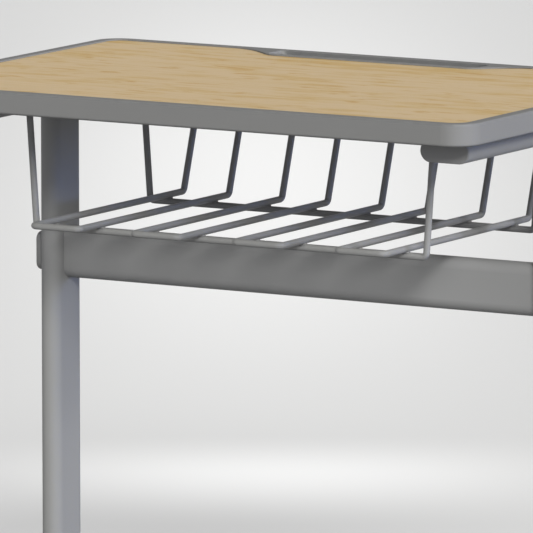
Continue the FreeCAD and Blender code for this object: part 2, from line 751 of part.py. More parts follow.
loops = 4
bend = size("bend_radius")
tip = size("tip_bend")
outer_rod = cross_half - size("cross_over")
loop_pitch = (outer_rod * 2 - size("loop_width")) / (loops - 1)
for index in range(loops):
    left = loop_pitch * index - outer_rod
    right = left + size("loop_width")
    bent_wire("basket_wire_%d" % (index + 1),
              ((left, rail_y, plate_low), (left, rail_y, tip_level), (left, back_y, rod_level),
               (left, front_y, rod_level), (right, front_y, rod_level), (right, back_y, rod_level),
               (right, rail_y, tip_level), (right, rail_y, plate_low)),
              (tip, bend, bend, bend, bend, tip))
for end, way in ends:
    y = cross_y[end]
    bent_wire("basket_cross_" + end,
              ((-hanger_x, y, plate_low), (-hanger_x, y, tip_level), (-cross_half, y, cross_level),
               (cross_half, y, cross_level), (hanger_x, y, tip_level), (hanger_x, y, plate_low)),
              (tip, bend, bend, tip))


def flat_plate(label, half_long, half_wide, holes, x, y):
    """A flat steel plate against the underside of the board, with rounded corners and screw holes."""
    body = new_body(label)
    outline = new_sketch(body, "XY_Plane")
    add_rounded(outline, half_long, half_wide, size("hanger_corner"))
    pad(body, outline, size("plate_thick"))
    drill = new_sketch(body, "XY_Plane")
    for hole in holes:
        add_circle(drill, hole, 0, size("screw_radius") + size("screw_play"))
    pocket(body, drill, size("plate_thick"), back=True)
    place(body, x, y, plate_low)
    return keep(body, label)


flat_plate("basket_rail", rail_half, size("rail_width") / 2,
           [x for x, y in rail_screws], Dim.of(0), rail_y)
for end, way in ends:
    for name, side in sides:
        flat_plate("hanger_%s_%s" % (end, name), size("hanger_long") / 2, size("hanger_wide") / 2,
                   [(hanger_middle - hanger_x) * side], hanger_middle * side, cross_y[end])

doc.recompute()
for item in doc.Objects:
    if "Invalid" in item.State or "Error" in item.State:
        raise RuntimeError("%s failed: %s" % (item.Name, item.State))
for item in nodes:
    if item.Shape.isNull() or not item.Shape.isValid():
        raise RuntimeError("%s has no valid shape" % item.Label)

os.makedirs("parts", exist_ok=True)
for item in nodes:
    item.Shape.exportStep("parts/%s.step" % item.Label)
print("%d pieces written" % len(nodes))
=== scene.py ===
"""School desk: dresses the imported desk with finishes, welds, screws and threaded glides."""

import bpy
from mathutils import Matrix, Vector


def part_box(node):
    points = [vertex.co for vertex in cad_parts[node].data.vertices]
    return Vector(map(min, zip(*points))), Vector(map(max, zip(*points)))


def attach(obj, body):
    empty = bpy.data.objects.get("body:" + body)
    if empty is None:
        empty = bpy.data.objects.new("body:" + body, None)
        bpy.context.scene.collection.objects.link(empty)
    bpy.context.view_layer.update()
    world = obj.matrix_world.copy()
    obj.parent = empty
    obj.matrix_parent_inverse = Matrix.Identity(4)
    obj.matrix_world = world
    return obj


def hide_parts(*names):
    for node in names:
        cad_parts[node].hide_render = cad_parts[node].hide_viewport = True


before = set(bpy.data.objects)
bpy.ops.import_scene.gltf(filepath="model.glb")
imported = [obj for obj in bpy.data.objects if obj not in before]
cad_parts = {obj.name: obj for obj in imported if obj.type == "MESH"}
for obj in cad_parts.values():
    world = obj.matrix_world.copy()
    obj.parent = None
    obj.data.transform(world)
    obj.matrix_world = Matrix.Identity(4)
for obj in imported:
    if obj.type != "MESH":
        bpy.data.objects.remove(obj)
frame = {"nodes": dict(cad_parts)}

import fnmatch
import logging
import math
from dataclasses import dataclass
from enum import Enum
from functools import cache, partial, reduce
from typing import Iterable, Sequence

import bmesh
import bpy
from bmesh.types import BMesh, BMVert
from bpy.types import ID, Material, Node, NodeSocket, NodeTree, Object
from mathutils import Matrix, Vector

LOG = logging.getLogger("school_desk")
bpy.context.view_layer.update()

Point = tuple[float, float, float]
Span = tuple[float, float]
Colour = tuple[float, float, float, float]
Ring = list[BMVert]
Sockets = bpy.types.bpy_prop_collection

NOISE_MIDDLE = 0.5
# Places of the colour sockets on a Mix node, and of the value sockets on a Random Value node
MIX_SHARE, MIX_FIRST, MIX_SECOND, MIX_RESULT = 0, 6, 7, 2
RANDOM_LOW, RANDOM_HIGH, RANDOM_VALUE = 2, 3, 1


class Body(Enum):
    """The bodies that pieces ride on."""

    FRAME = "frame"
    GLIDE_FRONT_LEFT = "glide_front_left"
    GLIDE_FRONT_RIGHT = "glide_front_right"
    GLIDE_REAR_LEFT = "glide_rear_left"
    GLIDE_REAR_RIGHT = "glide_rear_right"


class Side(Enum):
    """The two halves of the desk, as a sign along X."""

    LEFT = -1
    RIGHT = 1


class Row(Enum):
    """The front and the rear of the basket."""

    FRONT = "front"
    REAR = "rear"


class Slot(Enum):
    """Names of the record's material slots for new pieces, which nothing in this script uses."""

    FRAME_PAINT = "frame_paint"
    BASKET_PAINT = "basket_paint"
    PLATED_STEEL = "plated_steel"
    GLIDE_PLASTIC = "glide_plastic"


class Kind(Enum):
    """The kinds of sockets that the node groups have."""

    VALUE = "NodeSocketFloat"
    COUNT = "NodeSocketInt"
    VECTOR = "NodeSocketVector"
    COLOUR = "NodeSocketColor"
    GEOMETRY = "NodeSocketGeometry"
    OBJECT = "NodeSocketObject"
    MATERIAL = "NodeSocketMaterial"


def grey(level: float, warmth: float = 0.0) -> Colour:
    """Make a grey, with red raised and blue lowered by the share of its warmth."""
    return (level * (1 + warmth), level, level * (1 - warmth), 1.0)


def toned(colour: Colour, factor: float) -> Colour:
    """Make a colour lighter or darker by a factor."""
    return tuple(part * factor for part in colour[:3]) + (1.0,)


def middle(node: str) -> Vector:
    """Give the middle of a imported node's box."""
    low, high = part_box(node)
    return (low + high) / 2


class Nodes:
    """A thin helper that adds and links the nodes of one tree."""

    tree_type: str = "GeometryNodeTree"

    def __init__(self, tree: NodeTree) -> None:
        """Take the tree that the nodes go into."""
        self.tree = tree

    @classmethod
    def start(cls, name: str, inputs: dict[str, Kind],
              outputs: dict[str, Kind]) -> tuple["Nodes", Sockets, Sockets]:
        """Start a node group with its sockets.

        Args:
            name: Name of the group.
            inputs: The kind of each input.
            outputs: The kind of each output.

        Returns:
            The helper, what the group is given and what it puts out.
        """
        tree = bpy.data.node_groups.new(name, cls.tree_type)
        for way, sockets in (("INPUT", inputs), ("OUTPUT", outputs)):
            for label, kind in sockets.items():
                tree.interface.new_socket(name=label, in_out=way, socket_type=kind.value)
        helper = cls(tree)
        return helper, helper.node("NodeGroupInput").outputs, helper.node("NodeGroupOutput").inputs

    def node(self, kind: str, **values: object) -> Node:
        """Add one node.

        Args:
            kind: Blender's name of the node type.
            values: Attributes of the node, set by name.

        Returns:
            The new node.
        """
        made = self.tree.nodes.new(kind)
        for name, value in values.items():
            setattr(made, name, value)
        return made

    def feed(self, target: NodeSocket, value: object) -> None:
        """Link an input to a socket, or set it to a constant.

        Args:
            target: The input.
            value: A socket or a constant.
        """
        if isinstance(value, NodeSocket):
            self.tree.links.new(value, target)
        else:
            target.default_value = value

    def fill(self, node: Node | str, **values: object) -> Sockets:
        """Feed several inputs of a node.

        Args:
            node: The node, or the type of a new one.
            values: Sockets or constants, with spaces in the inputs' names written as underscores.

        Returns:
            The node's outputs.
        """
        if isinstance(node, str):
            node = self.node(node)
        for name, value in values.items():
            self.feed(node.inputs[name.replace("_", " ")], value)
        return node.outputs

    def put(self, node: Node, *values: object) -> Sockets:
        """Feed a node's first inputs in order.

        Args:
            node: The node.
            values: Sockets or constants.

        Returns:
            The node's outputs.
        """
        for place, value in enumerate(values):
            self.feed(node.inputs[place], value)
        return node.outputs


class ShaderNodes(Nodes):
    """Adds what the finishes need: noises, ranges, sums and blends."""

    tree_type: str = "ShaderNodeTree"

    def noise(self, vector: NodeSocket, scale: object, detail: float = 2.0, rough: float = 0.5) -> NodeSocket:
        """Add noise from 0 to 1. Its scale, in features per metre, is a socket or a number."""
        made = self.fill("ShaderNodeTexNoise", Vector=vector, Scale=scale, Detail=detail, Roughness=rough)
        return made["Fac"]

    def stretch(self, vector: NodeSocket, scale: Point, place: Point = (0.0, 0.0, 0.0)) -> NodeSocket:
        """Scale and shift coordinates."""
        return self.fill("ShaderNodeMapping", Vector=vector, Scale=scale, Location=place)["Vector"]

    def axes(self, vector: NodeSocket) -> tuple[NodeSocket, NodeSocket, NodeSocket]:
        """Split coordinates into X, Y and Z."""
        parts = self.fill("ShaderNodeSeparateXYZ", Vector=vector)
        return parts["X"], parts["Y"], parts["Z"]

    def tilt(self) -> NodeSocket:
        """Tell how far the surface looks up, from -1 to 1."""
        return self.axes(self.node("ShaderNodeNewGeometry").outputs["Normal"])[2]

    def remap(self, value: NodeSocket, span: Span, onto: Span = (0.0, 1.0)) -> NodeSocket:
        """Map a span of values onto another one, smoothly and clamped."""
        made = self.node("ShaderNodeMapRange", interpolation_type="SMOOTHSTEP")
        return self.put(made, value, *span, *onto)["Result"]

    def math(self, operation: str, *values: object) -> NodeSocket:
        """Combine values, each a socket or a number, by an operation that Blender names."""
        return self.put(self.node("ShaderNodeMath", operation=operation), *values)["Value"]

    def product(self, *factors: object) -> NodeSocket:
        """Multiply values, each a socket or a number."""
        return reduce(partial(self.math, "MULTIPLY"), factors)

    def swing(self, noise: NodeSocket, reach: object) -> NodeSocket:
        """Turn a noise into a swing about zero, as wide as its reach."""
        return self.product(self.math("SUBTRACT", noise, NOISE_MIDDLE), reach)

    def mix(self, share: object, first: object, second: object) -> NodeSocket:
        """Blend two colours, each a socket or a colour.

        Args:
            share: Share of the second colour, a socket or a number.
            first: First colour.
            second: Second colour.

        Returns:
            The blended colour.
        """
        made = self.node("ShaderNodeMix", data_type="RGBA")
        for place, value in ((MIX_SHARE, share), (MIX_FIRST, first), (MIX_SECOND, second)):
            self.feed(made.inputs[place], value)
        return made.outputs[MIX_RESULT]

    def eye_rays(self) -> NodeSocket:
        """Tell rays that show a surface, also in gloss or glass, from rays that carry its light.

        Returns:
            1 for a ray that shows the surface, and 0 for any other.
        """
        path = self.node("ShaderNodeLightPath").outputs
        shown = self.math("MAXIMUM", path["Is Camera Ray"], path["Is Glossy Ray"])
        return self.math("MAXIMUM", shown, path["Is Transmission Ray"])


class Effects:
    """Shader groups that several finishes share, each built once."""

    grain_detail: float = 1.5
    mottle_detail: float = 3.0
    dust_colour: Colour = grey(0.55, 0.03)
    patches_per_metre: float = 22.0
    patch_detail: float = 5.0
    dust_tilt: Span = (0.4, 0.95)
    dust_patches: Span = (0.35, 0.75)

    @classmethod
    @cache
    def skin(cls) -> NodeTree:
        """Build the fine skin of a coating or a moulding: height, roughness and a faint mottle.

        Returns:
            The group.
        """
        tree, given, out = ShaderNodes.start(
            "coating_skin",
            {"Vector": Kind.VECTOR, "Grain per metre": Kind.VALUE, "Mottle per metre": Kind.VALUE,
             "Roughness": Kind.VALUE, "Spread": Kind.VALUE},
            {"Height": Kind.VALUE, "Roughness": Kind.VALUE, "Mottle": Kind.VALUE})
        fine = tree.noise(given["Vector"], given["Grain per metre"], cls.grain_detail)
        broad = tree.noise(given["Vector"], given["Mottle per metre"], cls.mottle_detail)
        tree.feed(out["Height"], fine)
        tree.feed(out["Roughness"], tree.math("ADD", given["Roughness"], tree.swing(broad, given["Spread"])))
        tree.feed(out["Mottle"], broad)
        return tree.tree

    @classmethod
    @cache
    def dust(cls) -> NodeTree:
        """Build a thin broken layer of dust on faces that look up.

        Returns:
            The group.
        """
        tree, given, out = ShaderNodes.start(
            "settled_dust",
            {"Vector": Kind.VECTOR, "Amount": Kind.VALUE, "Surface": Kind.COLOUR}, {"Colour": Kind.COLOUR})
        patches = tree.noise(given["Vector"], cls.patches_per_metre, cls.patch_detail)
        upward, broken = tree.remap(tree.tilt(), cls.dust_tilt), tree.remap(patches, cls.dust_patches)
        mask = tree.product(upward, broken, given["Amount"])
        tree.feed(out["Colour"], tree.mix(mask, given["Surface"], cls.dust_colour))
        return tree.tree


@dataclass(frozen=True)
class GrainLayer:
    """One layer of wood grain: noise drawn out along X, with features per metre along and across."""

    along: float
    across: float
    shift: Span = (0.0, 0.0)
    detail: float = 2.0
    rough: float = 0.5

    def draw(self, tree: ShaderNodes, vector: NodeSocket) -> NodeSocket:
        """Add the layer's noise to a tree, on the coordinates given."""
        placed = tree.stretch(vector, (self.along, self.across, 1.0), (*self.shift, 0.0))
        return tree.noise(placed, 1.0, self.detail, self.rough)


@dataclass(frozen=True)
class WoodGrain:
    """Long wood grain along X: streaks, growth lines, fine fibres and short dark flecks.

    Each edge is the range of a layer's noise over which its mark comes up.
    """

    warp: GrainLayer = GrainLayer(2.2, 7.0)
    broad: GrainLayer = GrainLayer(1.8, 14.0, (2.9, 11.1), 3.0, 0.55)
    streaks: GrainLayer = GrainLayer(12.0, 58.0, (5.4, 5.4), 3.0, 0.55)
    lines: GrainLayer = GrainLayer(2.6, 330.0, (0.7, 3.3), 4.0, 0.6)
    fibres: GrainLayer = GrainLayer(26.0, 620.0, detail=3.0, rough=0.6)
    pores: GrainLayer = GrainLayer(52.0, 980.0, (1.9, 4.4))
    flecks: GrainLayer = GrainLayer(19.0, 66.0, (7.3, 2.2))
    wander: float = 0.035
    lean: float = 0.55
    streak_edge: Span = (0.42, 0.72)
    pore_edge: Span = (0.30, 0.60)
    pore_share: Span = (0.35, 1.0)
    line_edge: Span = (0.36, 0.68)
    line_middle: float = 0.42
    dash_edge: Span = (0.40, 0.58)
    fleck_edge: Span = (0.58, 0.70)

    def build(self) -> NodeTree:
        """Make the grain as a shader group.

        Returns:
            The group.
        """
        tree, given, out = ShaderNodes.start(
            "wood_grain",
            {"Vector": Kind.VECTOR, "Streak": Kind.VALUE, "Line": Kind.VALUE, "Fibre": Kind.VALUE,
             "Fleck": Kind.VALUE, "Light": Kind.COLOUR, "Dark": Kind.COLOUR, "Fleck colour": Kind.COLOUR},
            {"Colour": Kind.COLOUR, "Height": Kind.VALUE})
        warp = self.warp.draw(tree, given["Vector"])
        lift = tree.fill("ShaderNodeCombineXYZ", Y=tree.swing(warp, self.wander))
        bent = tree.put(tree.node("ShaderNodeVectorMath", operation="ADD"), given["Vector"], lift["Vector"])
        layers = (self.broad, self.streaks, self.lines, self.fibres, self.pores, self.flecks)
        broad, streaks, lines, fibres, pores, flecks = (
            layer.draw(tree, bent["Vector"]) for layer in layers)
        bands = tree.remap(tree.math("ADD", streaks, tree.swing(broad, self.lean)), self.streak_edge)
        lined = tree.product(bands, tree.remap(pores, self.pore_edge, self.pore_share), given["Streak"])
        rings = tree.math("SUBTRACT", tree.remap(lines, self.line_edge), self.line_middle)
        drawn = tree.math("ADD", tree.swing(fibres, given["Fibre"]), tree.product(rings, given["Line"]))
        base = tree.mix(tree.math("ADD", lined, drawn), given["Light"], given["Dark"])
        dashes, spots = tree.remap(pores, self.dash_edge), tree.remap(flecks, self.fleck_edge)
        fleck = tree.product(spots, dashes, given["Fleck"])
        tree.feed(out["Colour"], tree.mix(fleck, base, given["Fleck colour"]))
        tree.feed(out["Height"], tree.math("SUBTRACT", fibres, fleck))
        return tree.tree


class Surface(ShaderNodes):
    """A material under construction: object coordinates, a Principled shader and a bump."""

    def __init__(self, name: str) -> None:
        """Start an empty material.

        Args:
            name: Name of the material.
        """
        self.material = bpy.data.materials.new(name)
        self.material.use_nodes = True
        super().__init__(self.material.node_tree)
        self.tree.nodes.clear()
        self.coords = self.node("ShaderNodeTexCoord").outputs["Object"]
        self.shader = self.node("ShaderNodeBsdfPrincipled")
        self.fill("ShaderNodeOutputMaterial", Surface=self.shader.outputs["BSDF"])

    def group(self, tree: NodeTree, **values: object) -> Sockets:
        """Place a shared group that reads the object coordinates, and give its outputs."""
        return self.fill(self.node("ShaderNodeGroup", node_tree=tree), Vector=self.coords, **values)

    def shade(self, **values: object) -> None:
        """Feed or set the shader's own sockets, with spaces in their names written as underscores."""
        self.fill(self.shader, **values)

    def bump(self, height: NodeSocket, depth: float) -> None:
        """Feed the normal from a height, where a value of 1 is as high as the depth in metres."""
        made = self.fill("ShaderNodeBump", Height=height, Distance=depth, Strength=1.0)
        self.shade(Normal=made["Normal"])


@dataclass(frozen=True)
class CoatedFinish:
    """Paint, plastic, paper or plating with a fine skin, a faint mottle and a little settled dust."""

    name: str
    base: Colour
    roughness: float
    grain_per_metre: float
    grain_depth: float
    mottle: float
    mottle_per_metre: float = 14.0
    spread: float = 0.12
    dust: float = 0.05
    specular: float = 0.5
    metallic: float = 0.0

    def build(self) -> Material:
        """Make the material.

        Returns:
            The material.
        """
        surface = Surface(self.name)
        skin = surface.group(Effects.skin(), Grain_per_metre=self.grain_per_metre, Roughness=self.roughness,
                             Mottle_per_metre=self.mottle_per_metre, Spread=self.spread)
        darker, lighter = toned(self.base, 1 - self.mottle), toned(self.base, 1 + self.mottle)
        tone = surface.mix(skin["Mottle"], darker, lighter)
        dusty = surface.group(Effects.dust(), Amount=self.dust, Surface=tone)
        surface.shade(Base_Color=self.marks_and_shade(surface, dusty["Colour"]), Roughness=skin["Roughness"],
                      Specular_IOR_Level=self.specular, Metallic=self.metallic)
        surface.bump(skin["Height"], self.grain_depth)
        return surface.material

    def marks_and_shade(self, surface: Surface, colour: NodeSocket) -> NodeSocket:
        """Give the clean coat's colour with its marks and painted shade. A plain coat has none."""
        return colour


@dataclass(frozen=True)
class PaperFinish(CoatedFinish):
    """Plain pale paper with faint fibres."""

    fibre: Colour = (0.3956, 0.387, 0.3698, 1.0)
    fibres_per_metre: Point = (240.0, 1400.0, 1.0)
    fibre_edge: Span = (0.6, 0.8)
    fibre_share: Span = (0.0, 0.25)

    def marks_and_shade(self, surface: Surface, colour: NodeSocket) -> NodeSocket:
        """Give the paper's colour with its fibres."""
        fibres = surface.noise(surface.stretch(surface.coords, self.fibres_per_metre), 1.0)
        return surface.mix(surface.remap(fibres, self.fibre_edge, self.fibre_share), colour, self.fibre)


@dataclass(frozen=True)
class MouldedEdgeFinish(CoatedFinish):
    """The moulded edge, with painted shade along its top rounding and painted shade in the pen tray's recess.

    Each span runs from where a mark starts to where it is full, in metres. Depths go down from the edge's
    top, insets go in from its outer sides, and the tray's ends are places along X.
    """

    # Painted shade: near-black laid into the pen tray's recess below the rim, deepest towards its right end
    painted_tray_shade: Colour = (0.05, 0.05, 0.053, 1.0)
    # Painted shade: a darker grey on the top rounding of the straight sides, which damps the highlight there
    painted_rounding_shade: Colour = grey(0.150)
    tray_shade_depth: Span = (0.0001, 0.0008)
    tray_shade_inset: Span = (0.036, 0.019)
    wall_inset: Span = (0.0134, 0.0137)
    tray_left: Span = (-0.134, -0.122)
    tray_right: Span = (0.116, 0.134)
    right_share: Span = (0.3, 0.85)
    rounding_inset: Span = (0.0050, 0.0025)
    end_share: Span = (0.0, 0.5)
    # How far the rounding looks up where its mark starts and ends, from 0 for a wall to 1 for a top
    rounding_start: Span = (0.05, 0.25)
    rounding_end: Span = (0.99, 0.90)
    patches_per_metre: float = 95.0
    patch_edge: Span = (0.3, 0.7)
    patch_share: Span = (0.7, 1.0)

    def marks_and_shade(self, surface: Surface, colour: NodeSocket) -> NodeSocket:
        """Paint shade into the tray below the rim and onto the top rounding of the four straight sides.

        Args:
            surface: The material under construction.
            colour: Colour of the clean coat.

        Returns:
            The colour with its marks.
        """
        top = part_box("top_edge")[1]
        x, y, z = surface.axes(surface.coords)
        patches = surface.noise(surface.coords, self.patches_per_metre)
        patchy = surface.remap(patches, self.patch_edge, self.patch_share)
        # Painted shade in the tray's recess: below the rim, behind the front lip, between the tray's ends,
        # fuller towards the right end
        below = surface.remap(z, self.inward(top.z, self.tray_shade_depth))
        back = surface.remap(y, self.inward(top.y, self.tray_shade_inset))
        inside = surface.remap(y, self.inward(top.y, self.wall_inset))
        left = surface.remap(x, self.tray_left)
        right = surface.remap(x, self.tray_right, self.right_share)
        amount = surface.product(below, back, inside, left, right, patchy)
        # Painted shade on the top rounding of the four straight sides, weaker at the short ends
        tilt = surface.tilt()
        start, end = surface.remap(tilt, self.rounding_start), surface.remap(tilt, self.rounding_end)
        across, along = surface.math("ABSOLUTE", x), surface.math("ABSOLUTE", y)
        ends = surface.remap(across, self.inward(top.x, self.rounding_inset), self.end_share)
        runs = surface.remap(along, self.inward(top.y, self.rounding_inset))
        rounding_shade = surface.product(start, end, surface.math("MAXIMUM", ends, runs), patchy)
        return surface.mix(rounding_shade, surface.mix(amount, colour, self.painted_tray_shade), self.painted_rounding_shade)

    @staticmethod
    def inward(outer: float, span: Span) -> Span:
        """Turn a span of insets into places, seen from an outer side."""
        return outer - span[0], outer - span[1]


@dataclass(frozen=True)
class WoodSheetFinish:
    """The wood-look sheet: pale grain along the desk under a satin seal."""

    name: str = "wood_look_sheet"
    light: Colour = (0.484, 0.366, 0.220, 1.0)
    dark: Colour = (0.427, 0.284, 0.096, 1.0)
    fleck: Colour = (0.391, 0.233, 0.048, 1.0)
    grain: WoodGrain = WoodGrain()
    line_share: float = 0.55
    fibre_share: float = 0.35
    grain_depth: float = 0.00006
    skin_per_metre: float = 420.0
    mottle_per_metre: float = 6.0
    spread: float = 0.10
    roughness: float = 0.5
    specular: float = 0.03

    def build(self) -> Material:
        """Make the material.

        Returns:
            The material.
        """
        surface = Surface(self.name)
        wood = surface.group(self.grain.build(), Streak=1.0, Line=self.line_share, Fibre=self.fibre_share,
                             Fleck=1.0, Light=self.light, Dark=self.dark, Fleck_colour=self.fleck)
        skin = surface.group(Effects.skin(), Grain_per_metre=self.skin_per_metre, Roughness=self.roughness,
                             Mottle_per_metre=self.mottle_per_metre, Spread=self.spread)
        surface.shade(Base_Color=wood["Colour"], Roughness=skin["Roughness"],
                      Specular_IOR_Level=self.specular)
        surface.bump(wood["Height"], self.grain_depth)
        return surface.material


@dataclass(frozen=True)
class ChipBoardFinish:
    """Raw particle board: pressed chips in mixed browns."""

    name: str = "chip_board"
    brown: Colour = (0.42, 0.28, 0.14, 1.0)
    pale: Colour = (0.66, 0.50, 0.30, 1.0)
    gap: Colour = (0.30, 0.19, 0.09, 1.0)
    chips_per_metre: float = 320.0
    gaps_per_metre: float = 900.0
    gap_edge: Span = (0.3, 0.7)
    gap_share: Span = (0.0, 0.4)
    gap_detail: float = 3.0
    chip_depth: float = 0.0003
    roughness: float = 0.85

    def build(self) -> Material:
        """Make the material.

        Returns:
            The material.
        """
        surface = Surface(self.name)
        chips = surface.fill("ShaderNodeTexVoronoi", Vector=surface.coords, Scale=self.chips_per_metre)
        fine = surface.noise(surface.coords, self.gaps_per_metre, self.gap_detail)
        gaps = surface.remap(fine, self.gap_edge, self.gap_share)
        tone = surface.mix(chips["Color"], self.brown, self.pale)
        surface.shade(Base_Color=surface.mix(gaps, tone, self.gap), Roughness=self.roughness)
        surface.bump(chips["Distance"], self.chip_depth)
        return surface.material


@dataclass(frozen=True)
class Palette:
    """The finishes of the desk, as materials."""

    wood: Material
    chips: Material
    backing: Material
    edge: Material
    frame_paint: Material
    basket_paint: Material
    cap: Material
    glide: Material
    zinc: Material

    @classmethod
    def make(cls) -> "Palette":
        """Build every finish once.

        Returns:
            The palette.
        """
        backing = PaperFinish("backing_paper", (0.4278, 0.4185, 0.3999, 1.0), roughness=0.7,
                              grain_per_metre=600.0, grain_depth=0.00008, mottle=0.0753,
                              mottle_per_metre=9.0, spread=0.1, dust=0.0)
        edge = MouldedEdgeFinish("moulded_edge_grey", grey(0.185), roughness=0.6, grain_per_metre=1500.0,
                                 grain_depth=0.00003, mottle=0.03, dust=0.0, specular=0.0)
        frame_paint = CoatedFinish("frame_powder_coat", grey(0.273), roughness=0.5, grain_per_metre=700.0,
                                   grain_depth=0.00004, mottle=0.03, specular=0.1)
        basket_paint = CoatedFinish("basket_powder_coat", grey(0.228), roughness=0.45, grain_per_metre=800.0,
                                    grain_depth=0.00004, mottle=0.04, specular=0.06)
        cap = CoatedFinish("end_cap_grey", grey(0.23), roughness=0.55, grain_per_metre=1800.0,
                           grain_depth=0.00003, mottle=0.03, specular=0.2)
        glide = CoatedFinish("glide_black", (0.022, 0.022, 0.024, 1.0), roughness=0.5,
                             grain_per_metre=1600.0, grain_depth=0.00004, mottle=0.1, dust=0.2)
        zinc = CoatedFinish("zinc_plating", (0.558, 0.549, 0.522, 1.0), roughness=0.34,
                            grain_per_metre=1800.0, grain_depth=0.00003, mottle=0.111,
                            mottle_per_metre=160.0, spread=0.2, dust=0.0, metallic=1.0)
        finishes = (WoodSheetFinish(), ChipBoardFinish(), backing, edge, frame_paint, basket_paint, cap,
                    glide, zinc)
        return cls(*(finish.build() for finish in finishes))


class MeshKit:
    """Small mesh builders in metres."""

    merge_gap: float = 1e-7
    sharp_angle: float = math.radians(38)

    @staticmethod
    def place(name: str, data: ID) -> Object:
        """Link a new object to the scene, at the origin.

        Args:
            name: Name of the object.
            data: Its mesh, lamp or camera.

        Returns:
            The new object.
        """
        made = bpy.data.objects.new(name, data)
        bpy.context.scene.collection.objects.link(made)
        return made

    @classmethod
    def finish(cls, name: str, shape: BMesh, smooth: bool = True) -> Object:
        """Turn a mesh under construction into an object.

        Args:
            name: Name of the object.
            shape: The mesh, which is freed.
            smooth: Shade it smooth, with sharp edges kept.

        Returns:
            The new object.
        """
        bmesh.ops.remove_doubles(shape, verts=shape.verts, dist=cls.merge_gap)
        bmesh.ops.recalc_face_normals(shape, faces=shape.faces)
        data = bpy.data.meshes.new(name)
        shape.to_mesh(data)
        shape.free()
        for face in data.polygons:
            face.use_smooth = smooth
        if smooth:
            data.set_sharp_from_angle(angle=cls.sharp_angle)
        return cls.place(name, data)

    @staticmethod
    def ring(shape: BMesh, radius: float, level: float, steps: int) -> Ring:
        """Add points round the Z axis, or a single one where the radius is zero."""
        angles = [2 * math.pi * i / steps for i in range(steps if radius else 1)]
        return [shape.verts.new((radius * math.cos(a), radius * math.sin(a), level)) for a in angles]

    @staticmethod
    def bridge(shape: BMesh, rings: Sequence[Ring]) -> None:
        """Join each ring to the next with faces, which are triangles at a ring of one point.

        Args:
            shape: The mesh that holds the rings.
            rings: The rings in order.
        """
        for low, high in zip(rings, rings[1:]):
            count = max(len(low), len(high))
            for i in range(count):
                j = (i + 1) % count
                corners = (low[i % len(low)], low[j % len(low)], high[j % len(high)], high[i % len(high)])
                shape.faces.new(list(dict.fromkeys(corners)))

    @classmethod
    def tube(cls, shape: BMesh, rings: Sequence[Ring]) -> None:
        """Join rings into a tube and close both of its ends.

        Args:
            shape: The mesh that holds the rings.
            rings: The rings in order.
        """
        cls.bridge(shape, rings)
        shape.faces.new(list(reversed(rings[0])))
        shape.faces.new(rings[-1])

    @classmethod
    def lathe(cls, shape: BMesh, profile: Iterable[Span], steps: int) -> None:
        """Turn a profile of radius and height about Z."""
        cls.bridge(shape, [cls.ring(shape, radius, level, steps) for radius, level in profile])

    @classmethod
    def carrier(cls, name: str, spots: Sequence[Point], closed: bool = False) -> Object:
        """Make an object of bare points, or of one closed line through them.

        Args:
            name: Name of the object.
            spots: The points.
            closed: Join the points to a line.

        Returns:
            The new object.
        """
        count = len(spots)
        edges = [(i, (i + 1) % count) for i in range(count)] if closed else []
        data = bpy.data.meshes.new(name)
        data.from_pydata(spots, edges, [])
        return cls.place(name, data)

    @staticmethod
    def settle(piece: Object) -> Object:
        """Apply an object's modifiers, so that it holds a plain mesh.

        Args:
            piece: The object.

        Returns:
            The same object.
        """
        bpy.context.view_layer.update()
        graph = bpy.context.evaluated_depsgraph_get()
        made = bpy.data.meshes.new_from_object(piece.evaluated_get(graph), depsgraph=graph)
        piece.modifiers.clear()
        piece.data = made
        made.name = piece.name
        return piece


